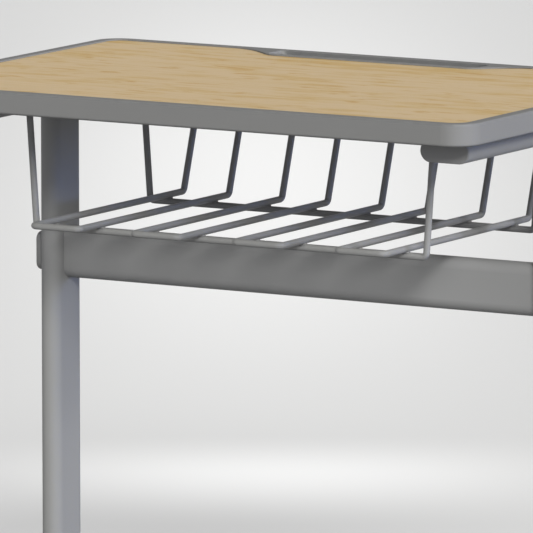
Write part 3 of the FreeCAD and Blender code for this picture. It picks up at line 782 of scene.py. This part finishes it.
class Repeats:
    """Geometry Nodes trees for what repeats: pieces on points, and weld ripples along a line."""

    bead_sizes: Span = (0.86, 1.1)
    bead_rounds: int = 2

    @staticmethod
    def close(tree: Nodes, instances: NodeSocket, material: NodeSocket, out: Sockets) -> None:
        """Realize the instances, set their material and end the tree.

        Args:
            tree: The tree.
            instances: The instances.
            material: The material input.
            out: What the tree puts out.
        """
        real = tree.fill("GeometryNodeRealizeInstances", Geometry=instances)
        dressed = tree.fill("GeometryNodeSetMaterial", Geometry=real["Geometry"], Material=material)
        tree.feed(out["Geometry"], dressed["Geometry"])

    @classmethod
    @cache
    def on_points(cls) -> NodeTree:
        """Build the tree that puts a piece on every point, each turned about Z by a seeded amount.

        Returns:
            The tree.
        """
        tree, given, out = Nodes.start(
            "pieces_on_points",
            {"Geometry": Kind.GEOMETRY, "Piece": Kind.OBJECT, "Material": Kind.MATERIAL, "Turn": Kind.VALUE,
             "Seed": Kind.COUNT},
            {"Geometry": Kind.GEOMETRY})
        source = tree.fill("GeometryNodeObjectInfo", Object=given["Piece"])
        turn = tree.node("FunctionNodeRandomValue")
        tree.feed(turn.inputs[RANDOM_HIGH], given["Turn"])
        angle = tree.fill(turn, Seed=given["Seed"])[RANDOM_VALUE]
        turned = tree.fill("ShaderNodeCombineXYZ", Z=angle)
        spread = tree.fill("GeometryNodeInstanceOnPoints", Points=given["Geometry"],
                           Instance=source["Geometry"], Rotation=turned["Vector"])
        cls.close(tree, spread["Instances"], given["Material"], out)
        return tree.tree

    @classmethod
    @cache
    def weld_run(cls) -> NodeTree:
        """Build the tree of a rippled weld: beads set close together along a line.

        Returns:
            The tree.
        """
        tree, given, out = Nodes.start(
            "weld_run",
            {"Geometry": Kind.GEOMETRY, "Pitch": Kind.VALUE, "Bead": Kind.VALUE, "Material": Kind.MATERIAL,
             "Seed": Kind.COUNT},
            {"Geometry": Kind.GEOMETRY})
        line = tree.fill("GeometryNodeMeshToCurve", Mesh=given["Geometry"])
        even = tree.fill(tree.node("GeometryNodeResampleCurve", mode="LENGTH"), Curve=line["Curve"],
                         Length=given["Pitch"])
        ball = tree.fill("GeometryNodeMeshIcoSphere", Radius=given["Bead"], Subdivisions=cls.bead_rounds)
        soft = tree.fill("GeometryNodeSetShadeSmooth", Geometry=ball["Mesh"])
        grow = tree.node("FunctionNodeRandomValue")
        for place, factor in zip((RANDOM_LOW, RANDOM_HIGH), cls.bead_sizes):
            tree.feed(grow.inputs[place], factor)
        size = tree.fill(grow, Seed=given["Seed"])[RANDOM_VALUE]
        spread = tree.fill("GeometryNodeInstanceOnPoints", Points=even["Curve"],
                           Instance=soft["Geometry"], Scale=size)
        cls.close(tree, spread["Instances"], given["Material"], out)
        return tree.tree

    @staticmethod
    def apply(carrier: Object, tree: NodeTree, **values: object) -> Object:
        """Run a tree on an object and keep the result as a plain mesh.

        Args:
            carrier: Object whose points or lines the tree reads.
            tree: The tree.
            values: Its inputs by name.

        Returns:
            The same object with the made mesh.
        """
        modifier = carrier.modifiers.new("repeat", "NODES")
        modifier.node_group = tree
        names = {item.name: item.identifier for item in tree.interface.items_tree
                 if item.item_type == "SOCKET" and item.in_out == "INPUT"}
        for label, value in values.items():
            modifier[names[label]] = value
        return MeshKit.settle(carrier)

    @classmethod
    def copies(cls, name: str, source: Object, spots: Sequence[Point], material: Material, turn: float,
               seed: int) -> Object:
        """Put copies of one piece on points, as one object, and remove the first piece.

        Args:
            name: Name of the object.
            source: The piece to copy.
            spots: The points.
            material: The finish.
            turn: Largest turn about Z, in radians.
            seed: Seed of the turns.

        Returns:
            The copies.
        """
        made = cls.apply(MeshKit.carrier(name, spots), cls.on_points(), Piece=source, Material=material,
                         Turn=turn, Seed=seed)
        bpy.data.objects.remove(source)
        return made


def seat(piece: Object, body: Body, replaces: Sequence[str] = ()) -> None:
    """Let a finished piece ride on its body.

    Args:
        piece: The piece, in place.
        body: The body that carries it.
        replaces: Nodes that it stands for.
    """
    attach(piece, body.value)
    if replaces:
        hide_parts(*replaces)
    LOG.info("%s rides on %s", piece.name, body.value)


def dress(material: Material, *patterns: str) -> None:
    """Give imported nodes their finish.

    Args:
        material: The finish.
        patterns: Patterns of the nodes' names.
    """
    for name in (found for pattern in patterns for found in fnmatch.filter(frame["nodes"], pattern)):
        data = frame["nodes"][name].data
        data.materials.clear()
        data.materials.append(material)
        LOG.info("%s has %s", name, material.name)


@dataclass
class Worktop:
    """The board in its moulded edge."""

    palette: Palette

    def build(self) -> None:
        """Dress the board's layers and its edge."""
        dress(self.palette.wood, "top_laminate")
        dress(self.palette.chips, "top_core")
        dress(self.palette.backing, "top_backing")
        dress(self.palette.edge, "top_edge")


@dataclass
class FrameTubes:
    """Arms, columns, beam and feet, with their caps and welds. Lengths in metres."""

    palette: Palette
    tube_wide: float = 0.060
    bead: float = 0.0021
    bead_pitch: float = 0.0019
    bead_proud: float = 0.2
    end_steps: int = 16
    seed: int = 11

    def build(self) -> None:
        """Dress the tubes and caps, then add the weld runs."""
        dress(self.palette.frame_paint, "arm_[lr]*", "column_*", "beam", "foot_[lr]*")
        dress(self.palette.cap, "*_cap_*", "bolt_cover_*")
        dress(self.palette.zinc, "beam_*", "glide_nuts")
        for side in Side:
            foot_top, arm_underside = (corner.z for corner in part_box("column_" + side.name.lower()))
            self.weld(side, "arm", arm_underside)
            self.weld(side, "foot", foot_top)

    def weld(self, side: Side, other: str, height: float) -> None:
        """Run a weld round the end of a column.

        Args:
            side: Which column.
            other: The piece that it is welded to.
            height: Height of the joint.
        """
        low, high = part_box("column_" + side.name.lower())
        centre, thick = (low + high) / 2, high.x - low.x
        half = (self.tube_wide - thick) / 2
        radius = thick / 2 + self.bead * self.bead_proud
        outline: list[Point] = []
        for start, shift in ((0.0, half), (math.pi, -half)):
            for i in range(self.end_steps + 1):
                angle = start + math.pi * i / self.end_steps
                y = centre.y + shift + radius * math.sin(angle)
                outline.append((centre.x + radius * math.cos(angle), y, height))
        line = MeshKit.carrier("weld_%s_%s" % (other, side.name.lower()), outline, closed=True)
        made = Repeats.apply(line, Repeats.weld_run(), Pitch=self.bead_pitch, Bead=self.bead,
                             Material=self.palette.frame_paint, Seed=self.seed + side.value)
        seat(made, Body.FRAME)


@dataclass
class WireBasket:
    """The hanging basket: wires, rail and plates, with their welds. Lengths in metres."""

    palette: Palette
    wires: int = 4
    wire_radius: float = 0.0038
    nugget: Point = (0.0046, 0.0040, 0.0017)
    nugget_steps: tuple[int, int] = (16, 8)
    nugget_turn: float = 0.3
    nugget_seed: int = 3
    # Radius, in radii of the wire, and height of each point of a tip weld's outline
    collar: tuple[Span, ...] = ((0.9, -0.0036), (1.02, -0.0036), (1.16, -0.0022), (1.45, -0.0009),
                                (1.85, -0.0001), (1.85, 0.0), (0.9, 0.0), (0.9, -0.0036))
    collar_steps: int = 24
    collar_turn: float = 6.2
    collar_seed: int = 5

    def build(self) -> None:
        """Dress the wires and plates, then add the welds."""
        dress(self.palette.basket_paint, "basket_wire_*", "basket_cross_*", "basket_rail", "hanger_*")
        self.crossing_welds()
        self.tip_welds()

    def rods(self) -> list[float]:
        """List the places of the floor rods along X, two for each bent wire."""
        boxes = [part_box("basket_wire_%d" % (i + 1)) for i in range(self.wires)]
        return [x for low, high in boxes for x in (low.x + self.wire_radius, high.x - self.wire_radius)]

    @staticmethod
    def crosses() -> list[float]:
        """List the places of the two cross wires along Y."""
        return [middle("basket_cross_" + row.value).y for row in Row]

    def crossing_welds(self) -> None:
        """Add the small pressed welds where rods lie on cross wires, as one piece."""
        shape = bmesh.new()
        around, upwards = self.nugget_steps
        bmesh.ops.create_uvsphere(shape, u_segments=around, v_segments=upwards, radius=1.0)
        bmesh.ops.scale(shape, vec=self.nugget, verts=shape.verts)
        undersides = [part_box(node)[0].z for node in ("basket_wire_1", "basket_cross_front")]
        level = sum(undersides) / 2 + self.wire_radius
        spots = [(x, y, level) for x in self.rods() for y in self.crosses()]
        made = Repeats.copies("basket_crossing_welds", MeshKit.finish("weld_nugget", shape), spots,
                              self.palette.basket_paint, self.nugget_turn, self.nugget_seed)
        seat(made, Body.FRAME)

    def tip_welds(self) -> None:
        """Add the fillet welds between the wires' tips and the rail or plates, as one piece."""
        shape = bmesh.new()
        profile = [(share * self.wire_radius, height) for share, height in self.collar]
        MeshKit.lathe(shape, profile, self.collar_steps)
        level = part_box("basket_rail")[0].z
        tip_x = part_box("basket_cross_front")[1].x - self.wire_radius
        spots = [(x, middle("basket_rail").y, level) for x in self.rods()]
        spots += [(tip_x * side.value, y, level) for side in Side for y in self.crosses()]
        made = Repeats.copies("basket_tip_welds", MeshKit.finish("weld_collar", shape), spots,
                              self.palette.basket_paint, self.collar_turn, self.collar_seed)
        seat(made, Body.FRAME)


@dataclass
class WoodScrews:
    """Pan-head wood screws with a cross recess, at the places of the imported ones. Lengths in metres."""

    palette: Palette
    head_radius: float = 0.0044
    head_high: float = 0.0030
    shank_radius: float = 0.0022
    point_long: float = 0.003
    point_share: float = 0.25
    # Radius, in radii of the head, and drop, in heights of the head, of each point of its outline
    head: tuple[Span, ...] = ((0.0, 1.0), (0.45, 0.985), (0.72, 0.9), (0.9, 0.7), (1.0, 0.35), (1.0, 0.0))
    head_steps: int = 28
    recess_reach: float = 0.56
    recess_half: float = 0.12
    recess_deep: float = 0.62
    recess_over: float = 1.2
    recess_taper: float = 0.6
    rail_inner: float = 0.192
    plate_inset: float = 0.010
    turn: float = 1.5
    seed: int = 7

    def build(self) -> None:
        """Put screws in the arms and in the basket's rail and plates."""
        arm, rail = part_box("top_screws")[1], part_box("basket_screws")[1]
        arm_x, arm_y, rail_outer = (edge - self.head_radius for edge in (arm.x, arm.y, rail.x))
        spots = [(arm_x * side.value, arm_y * way) for side in Side for way in (-1, 1)]
        self.group("arm_wood_screws", "top_screws", spots)
        rail_y = middle("basket_rail").y
        spots = [(x * side.value, rail_y) for side in Side for x in (rail_outer, self.rail_inner)]
        for side in Side:
            plates = [middle("hanger_%s_%s" % (row.value, side.name.lower())) for row in Row]
            spots += [(plate.x - self.plate_inset * side.value, plate.y) for plate in plates]
        self.group("basket_wood_screws", "basket_screws", spots)

    def group(self, name: str, node: str, spots: Sequence[Span]) -> None:
        """Put screws of one length, as one piece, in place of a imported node.

        Args:
            name: Name of the piece.
            node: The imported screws.
            spots: Places of the screws along X and Y.
        """
        low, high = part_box(node)
        level = low.z + self.head_high
        source = self.screw(name + "_source", high.z - level)
        made = Repeats.copies(name, source, [(x, y, level) for x, y in spots], self.palette.zinc, self.turn,
                              self.seed)
        seat(made, Body.FRAME, [node])

    def screw(self, name: str, long: float) -> Object:
        """Make one screw with its head below the origin.

        Args:
            name: Name of the object.
            long: Length of the shank above the head.

        Returns:
            The screw.
        """
        shape = bmesh.new()
        shank = self.shank_radius
        profile = [(share * self.head_radius, -drop * self.head_high) for share, drop in self.head]
        profile += [(shank, 0.0), (shank, long - self.point_long), (shank * self.point_share, long)]
        profile.append((0.0, long))
        MeshKit.lathe(shape, profile, self.head_steps)
        made = MeshKit.finish(name, shape)
        cutter = self.recess(name + "_recess")
        cut = made.modifiers.new("recess", "BOOLEAN")
        cut.operation = "DIFFERENCE"
        cut.solver = "EXACT"
        cut.object = cutter
        MeshKit.settle(made)
        bpy.data.objects.remove(cutter)
        return made

    def recess(self, name: str) -> Object:
        """Make the tapered cross that is cut into the head.

        Args:
            name: Name of the object.

        Returns:
            The cutter.
        """
        shape = bmesh.new()
        reach, half = self.head_radius * self.recess_reach, self.head_radius * self.recess_half
        low, high = -self.head_high * self.recess_over, self.head_high * (self.recess_deep - 1)
        outline: list[Span] = []
        arm = [(reach, half), (half, half), (half, reach)]
        for _ in range(4):
            outline += arm
            arm = [(-y, x) for x, y in arm]
        rings = [[shape.verts.new((x * share, y * share, level)) for x, y in outline]
                 for share, level in ((1.0, low), (self.recess_taper, high))]
        MeshKit.tube(shape, rings)
        return MeshKit.finish(name, shape, smooth=False)


@dataclass
class LevellingGlide:
    """One screw-in glide: moulded pad, hexagon collar and threaded stud. Lengths in metres."""

    palette: Palette
    body: Body
    # Inset from the pad's radius, and height, of each point of its outline
    outline: tuple[Span, ...] = ((0.0024, 0.0), (0.0011, 0.0004), (0.0003, 0.0013), (0.0, 0.0024),
                                 (0.0, 0.004), (0.0008, 0.00496), (0.003, 0.0072), (0.0045, 0.008))
    pad_steps: int = 56
    collar_corners: int = 6
    collar_flat: float = 0.0068
    collar_top: float = 0.011
    collar_sink: float = 0.0005
    collar_chamfer: float = 0.0005
    stud_radius: float = 0.004
    stud_sink: float = 0.001
    thread_pitch: float = 0.00125
    thread_deep: float = 0.00065
    steps_around: int = 24
    steps_a_turn: int = 6
    tip_long: float = 0.0012
    tip_share: float = 0.82

    def build(self) -> None:
        """Make the pad and the stud and let both ride on the glide's body."""
        low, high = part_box(self.body.value)
        pad, stud = self.pad((high.x - low.x) / 2), self.stud(high.z - low.z)
        place = Matrix.Translation(((low.x + high.x) / 2, (low.y + high.y) / 2, low.z))
        for piece, material in ((pad, self.palette.glide), (stud, self.palette.zinc)):
            piece.data.transform(place)
            piece.data.materials.append(material)
        seat(pad, self.body, [self.body.value])
        seat(stud, self.body)

    def pad(self, radius: float) -> Object:
        """Make the pad with its hexagon collar.

        Args:
            radius: Radius of the pad.

        Returns:
            The pad at the origin.
        """
        shape = bmesh.new()
        high = self.outline[-1][1]
        side = [(radius - inset, level) for inset, level in self.outline]
        MeshKit.lathe(shape, [(0.0, 0.0), *side, (0.0, high)], self.pad_steps)
        corner = self.collar_flat / math.cos(math.pi / self.collar_corners)
        collar = ((corner, high - self.collar_sink), (corner, self.collar_top - self.collar_chamfer),
                  (corner - self.collar_chamfer, self.collar_top))
        MeshKit.tube(shape, [MeshKit.ring(shape, *point, self.collar_corners) for point in collar])
        return MeshKit.finish(self.body.value + "_pad", shape)

    def stud(self, end: float) -> Object:
        """Make the stud with a helical thread.

        Args:
            end: Height of the stud's tip.

        Returns:
            The stud at the origin.
        """
        shape = bmesh.new()
        start = self.collar_top - self.stud_sink
        rows = int((end - start) / self.thread_pitch * self.steps_a_turn)
        rings: list[Ring] = []
        for row in range(rows + 1):
            level = start + (end - start) * row / rows
            fade = min(1.0, (end - level) / self.tip_long)
            ring: Ring = []
            for i in range(self.steps_around):
                phase = (level / self.thread_pitch - i / self.steps_around) % 1.0
                dip = abs(phase - 0.5) * 2 * self.thread_deep
                radius = (self.stud_radius - dip) * (self.tip_share + (1 - self.tip_share) * fade)
                angle = 2 * math.pi * i / self.steps_around
                ring.append(shape.verts.new((radius * math.cos(angle), radius * math.sin(angle), level)))
            rings.append(ring)
        MeshKit.tube(shape, rings)
        return MeshKit.finish(self.body.value + "_stud", shape)


@dataclass(frozen=True)
class SunLamp:
    """A soft lamp that is far away. Angles in degrees, azimuth from the front towards the right."""

    name: str
    azimuth: float
    elevation: float
    light: Point
    spread: float = 10.0
    gloss: bool = True
    away: float = 6.0

    def hang(self) -> None:
        """Hang the lamp."""
        lamp = bpy.data.lights.new(self.name, "SUN")
        level = max(self.light)
        lamp.energy = math.pi * level
        lamp.color = tuple(part / level for part in self.light)
        lamp.angle = math.radians(self.spread)
        made = MeshKit.place(self.name, lamp)
        a, e = math.radians(self.azimuth), math.radians(self.elevation)
        towards = Vector((math.sin(a) * math.cos(e), -math.cos(a) * math.cos(e), math.sin(e)))
        made.rotation_mode = "QUATERNION"
        made.rotation_quaternion = towards.to_track_quat("Z", "Y")
        made.location = towards * self.away
        made.visible_glossy = self.gloss
        LOG.info("lamp %s hangs", self.name)


@dataclass(frozen=True)
class Glow:
    """A painted pool of light: a soft bright patch on the floor behind the desk. Lengths in metres, the first
    three along the view.
    """

    peak: float
    before: float
    after: float
    half_wide: float
    level: float

    def mask(self, tree: ShaderNodes, away: NodeSocket, side: NodeSocket) -> NodeSocket:
        """Make the patch's share over the floor.

        Args:
            tree: The floor's nodes.
            away: Place along the view.
            side: Distance from the patch's middle line.

        Returns:
            A value from 0 to 1.
        """
        rise = tree.remap(away, (self.peak - self.before, self.peak))
        fall = tree.remap(away, (self.peak, self.peak + self.after), (1.0, 0.0))
        return tree.product(rise, fall, tree.remap(side, (0.0, self.half_wide), (1.0, 0.0)))


@dataclass
class Studio:
    """Pale floor with a soft glow, soft light and the camera. Lengths in metres, angles in degrees."""

    camera_place: Point = (4.99004, -8.58514, 1.98950)
    camera_azimuth: float = 30.2602
    camera_elevation: float = 8.2514
    camera_roll: float = 0.049
    camera_lens: float = 606.12
    camera_sensor: float = 36.0
    camera_reach: float = 200.0
    lamps: tuple[SunLamp, ...] = (
        SunLamp("key", 38.0, 26.0, (0.825, 0.825, 0.80), 16.0),
        SunLamp("right_high", 80.0, 42.0, (0.41, 0.41, 0.42)),
        SunLamp("right_back", 100.0, 26.0, (0.29, 0.282, 0.255)),
        SunLamp("right_low", 100.0, 4.5, (0.05, 0.08, 0.19), 7.0),
        SunLamp("front_high", 0.0, 42.0, (0.15, 0.15, 0.13)),
        SunLamp("back_low", 210.0, 8.0, (0.36, 0.36, 0.37), gloss=False),
    )
    sky_horizon: Colour = (0.50, 0.51, 0.54, 1.0)
    sky_left: Colour = (0.50, 0.51, 0.55, 1.0)
    sky_low: Colour = (1.22, 1.23, 1.30, 1.0)
    sky_high: Colour = grey(0.02)
    sky_seen: Colour = grey(0.69)
    # Where the sky changes: upwards from 0 at the horizon, and across from -1 at the left to 1 at the right
    sky_lift: Span = (0.0, 0.16)
    sky_fall: Span = (0.26, 0.42)
    sky_turn: Span = (-0.8, 0.2)
    floor_half: float = 60.0
    floor_drop: float = 0.0004
    floor_seen: Colour = grey(0.694)
    floor_lit: float = 0.5
    floor_glow_share: float = 0.47
    glows: tuple[Glow, ...] = (Glow(4.7, 3.5, 4.3, 0.63, 0.93), Glow(1.87, 0.41, 0.33, 0.56, 0.965))
    glow_across: float = -0.016
    bounce_near: Colour = grey(0.08)
    bounce_far: Colour = grey(0.48)
    bounce_reach: Span = (0.8, 1.7)

    def build(self) -> None:
        """Make the floor, the light and the camera."""
        self.floor()
        self.sky()
        for lamp in self.lamps:
            lamp.hang()
        self.camera()

    def floor(self) -> None:
        """Lay the floor. The eye sees it pale, and it throws back a little light."""
        shape = bmesh.new()
        bmesh.ops.create_grid(shape, x_segments=2, y_segments=2, size=self.floor_half)
        bmesh.ops.translate(shape, vec=(0, 0, -self.floor_drop), verts=shape.verts)
        made = MeshKit.finish("studio_floor", shape, smooth=False)
        surface = Surface("pale_floor")
        turned = surface.fill("ShaderNodeMapping", Vector=surface.coords,
                              Rotation=(0, 0, -math.radians(self.camera_azimuth)))
        across, away, _ = surface.axes(turned["Vector"])
        side = surface.math("ABSOLUTE", surface.math("SUBTRACT", across, self.glow_across))
        seen: object = self.floor_seen
        for glow in self.glows:
            seen = surface.mix(glow.mask(surface, away, side), seen, grey(glow.level))
        ring = surface.put(surface.node("ShaderNodeVectorMath", operation="LENGTH"), surface.coords)
        reach = surface.remap(ring["Value"], self.bounce_reach)
        thrown = surface.mix(reach, self.bounce_near, self.bounce_far)
        shown = surface.eye_rays()
        lit = surface.mix(self.floor_lit, grey(0.0), seen)
        # Painted light: for eye rays the floor glows with its pale colour and painted pools of light, which
        # also lightens the desk's shadow on it
        surface.shade(Base_Color=surface.mix(shown, thrown, lit), Roughness=1.0, Specular_IOR_Level=0.0,
                      Emission_Color=seen, Emission_Strength=surface.product(shown, self.floor_glow_share))
        made.data.materials.append(surface.material)

    def sky(self) -> None:
        """Light everything from all round, mostly from low down."""
        world = bpy.data.worlds.new("studio_sky")
        bpy.context.scene.world = world
        world.use_nodes = True
        world.node_tree.nodes.clear()
        tree = ShaderNodes(world.node_tree)
        across, _, up = tree.axes(tree.node("ShaderNodeTexCoord").outputs["Generated"])
        low = tree.mix(tree.remap(across, self.sky_turn), self.sky_left, self.sky_low)
        band = tree.mix(tree.remap(up, self.sky_lift), self.sky_horizon, low)
        light = tree.mix(tree.remap(up, self.sky_fall), band, self.sky_high)
        shown = tree.mix(tree.eye_rays(), light, self.sky_seen)
        shade = tree.fill("ShaderNodeBackground", Color=shown)
        tree.fill("ShaderNodeOutputWorld", Surface=shade["Background"])

    def camera(self) -> None:
        """Set the camera where the photograph was taken from."""
        data = bpy.data.cameras.new("eye")
        data.sensor_width = self.camera_sensor
        data.lens = self.camera_lens
        data.clip_end = self.camera_reach
        made = MeshKit.place("eye", data)
        a, e, r = (math.radians(v) for v in (self.camera_azimuth, self.camera_elevation, self.camera_roll))
        aim = Matrix.Rotation(a, 4, "Z") @ Matrix.Rotation(math.pi / 2 - e, 4, "X")
        made.matrix_world = Matrix.Translation(self.camera_place) @ aim @ Matrix.Rotation(-r, 4, "Z")
        bpy.context.scene.camera = made


def main() -> None:
    """Build and dress the desk, then the studio."""
    logging.basicConfig(level=logging.INFO, format="%(name)s: %(message)s")
    bpy.context.scene.view_settings.view_transform = "Standard"
    palette = Palette.make()
    Worktop(palette).build()
    FrameTubes(palette).build()
    WireBasket(palette).build()
    WoodScrews(palette).build()
    for body in Body:
        if body is not Body.FRAME:
            LevellingGlide(palette, body).build()
    Studio().build()


if __name__ == "__main__":
    main()
